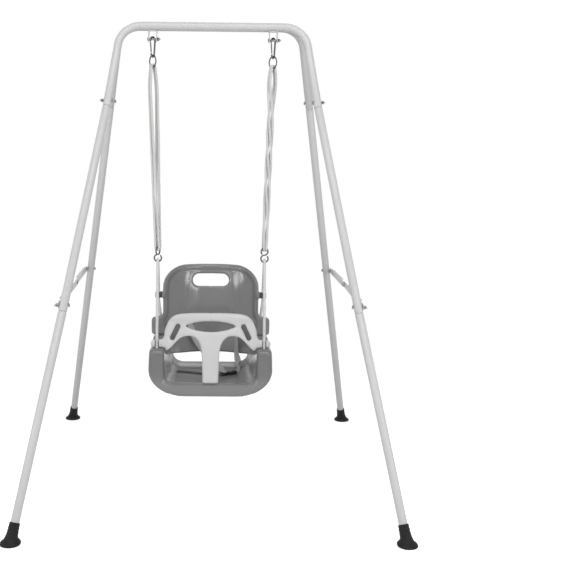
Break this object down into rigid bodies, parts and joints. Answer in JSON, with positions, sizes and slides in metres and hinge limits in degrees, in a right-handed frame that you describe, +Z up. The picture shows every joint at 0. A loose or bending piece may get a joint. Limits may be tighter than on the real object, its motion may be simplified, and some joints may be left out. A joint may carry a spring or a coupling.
{
  "type": "toddler swing set",
  "caption": "Toddler swing on its own folding tube stand: a bucket seat with backrest, T-shaped guard and harness, hung by ropes on rings, hooks and carabiners.",
  "frame": {"origin": "on the floor, under the middle of the stand's bounding box", "axes": "+Z up, +Y to the back, +X to the right seen from the front, where the seat faces -Y"},
  "size_m": [1.0104, 1.1148, 1.2937],
  "materials": {
    "frame_coat": "satin",
    "zinc": "satin",
    "steel": "satin",
    "foot_rubber": "matte",
    "seat_plastic": "gloss",
    "guard_plastic": "matte",
    "rope": "matte",
    "webbing": "matte",
    "dark_webbing": "matte",
    "buckle_plastic": "matte"
  },
  "bodies": {
    "front_frame": {"front_top_frame": "frame_coat", "front_leg_middle_left": "frame_coat", "front_leg_lower_left": "frame_coat", "front_foot_left": "foot_rubber", "hanger_bracket_left": "frame_coat", "hanger_bolt_left": "zinc", "hanger_wing_nut_left": "zinc", "front_leg_middle_right": "frame_coat", "front_leg_lower_right": "frame_coat", "front_foot_right": "foot_rubber", "hanger_bracket_right": "frame_coat", "hanger_bolt_right": "zinc", "hanger_wing_nut_right": "zinc", "front_upper_left_bolt": "zinc", "front_upper_left_wing_nut": "zinc", "front_upper_right_bolt": "zinc", "front_upper_right_wing_nut": "zinc", "front_lower_left_bolt": "zinc", "front_lower_left_wing_nut": "zinc", "front_lower_right_bolt": "zinc", "front_lower_right_wing_nut": "zinc"},
    "rear_frame": {"rear_top_frame": "frame_coat", "rear_leg_left": "frame_coat", "rear_foot_left": "foot_rubber", "rear_brace_bolt_left": "zinc", "rear_leg_right": "frame_coat", "rear_foot_right": "foot_rubber", "rear_brace_bolt_right": "zinc", "rear_upper_left_bolt": "zinc", "rear_upper_left_wing_nut": "zinc", "rear_upper_right_bolt": "zinc", "rear_upper_right_wing_nut": "zinc"},
    "swing": {"carabiner_left": "steel", "ring_left": "steel", "upper_rope_left": "rope", "lower_hook_left": "steel", "carabiner_right": "steel", "ring_right": "steel", "upper_rope_right": "rope", "lower_hook_right": "steel"},
    "seat": {"lower_rope_left": "rope", "lower_rope_right": "rope", "seat_base": "seat_plastic", "backrest": "seat_plastic", "harness_strap_left": "webbing", "harness_strap_right": "webbing", "lap_strap": "dark_webbing", "buckle_socket": "buckle_plastic"},
    "guard": {"guard": "guard_plastic"},
    "plug": {"buckle_plug": "buckle_plastic"},
    "front_link_left": {"front_brace_link_left": "frame_coat", "brace_pivot_left": "zinc"},
    "rear_link_left": {"rear_brace_link_left": "frame_coat", "rear_brace_nut_left": "zinc"},
    "gate_left": {"carabiner_gate_left": "steel"},
    "front_link_right": {"front_brace_link_right": "frame_coat", "brace_pivot_right": "zinc"},
    "rear_link_right": {"rear_brace_link_right": "frame_coat", "rear_brace_nut_right": "zinc"},
    "gate_right": {"carabiner_gate_right": "steel"}
  },
  "joints": [
    {"name": "fold", "type": "hinge", "parent": "front_frame", "child": "rear_frame", "pos_m": [0, 0.013, 1.28], "axis": [1, 0, 0], "range_deg": [-38, 0]},
    {"name": "brace_front_left", "type": "hinge", "parent": "front_frame", "child": "front_link_left", "pos_m": [-0.3896, -0.31023, 0.54708], "axis": [1, 0, 0], "range_deg": [0, 71]},
    {"name": "brace_rear_left", "type": "hinge", "parent": "front_link_left", "child": "rear_link_left", "pos_m": [-0.3836, -0.00307, 0.56243], "axis": [1, 0, 0], "range_deg": [-157, 0]},
    {"name": "brace_front_right", "type": "hinge", "parent": "front_frame", "child": "front_link_right", "pos_m": [0.3896, -0.31023, 0.54708], "axis": [1, 0, 0], "range_deg": [0, 71]},
    {"name": "brace_rear_right", "type": "hinge", "parent": "front_link_right", "child": "rear_link_right", "pos_m": [0.3836, -0.00307, 0.56243], "axis": [1, 0, 0], "range_deg": [-157, 0]},
    {"name": "swing", "type": "hinge", "parent": "front_frame", "child": "swing", "pos_m": [0, 0, 1.2455], "axis": [1, 0, 0], "range_deg": [-45, 45]},
    {"name": "gate_left", "type": "hinge", "parent": "swing", "child": "gate_left", "pos_m": [-0.1715, -0.0051, 1.209], "axis": [-0.7986, 0.6018, 0], "range_deg": [0, 20], "stiffness_Nm_per_rad": 0.02},
    {"name": "gate_right", "type": "hinge", "parent": "swing", "child": "gate_right", "pos_m": [0.1637, -0.0051, 1.209], "axis": [-0.7986, 0.6018, 0], "range_deg": [0, 20], "stiffness_Nm_per_rad": 0.02},
    {"name": "seat_tilt", "type": "hinge", "parent": "swing", "child": "seat", "pos_m": [0, 0, 0.6238], "axis": [1, 0, 0], "range_deg": [-25, 25]},
    {"name": "guard_lift", "type": "slide", "parent": "seat", "child": "guard", "axis": [0, 0.3929, 0.9196], "range_m": [0, 0.12]},
    {"name": "buckle", "type": "slide", "parent": "seat", "child": "plug", "axis": [0.866, 0.5, 0], "range_m": [0, 0.02], "deforming": ["harness_strap_right"]}
  ],
  "couplings": [
    {"joint": "brace_front_left", "follows": "fold", "ratio": -1.8491},
    {"joint": "brace_rear_left", "follows": "fold", "ratio": 4.1089},
    {"joint": "brace_front_right", "follows": "fold", "ratio": -1.8491},
    {"joint": "brace_rear_right", "follows": "fold", "ratio": 4.1089}
  ]
}
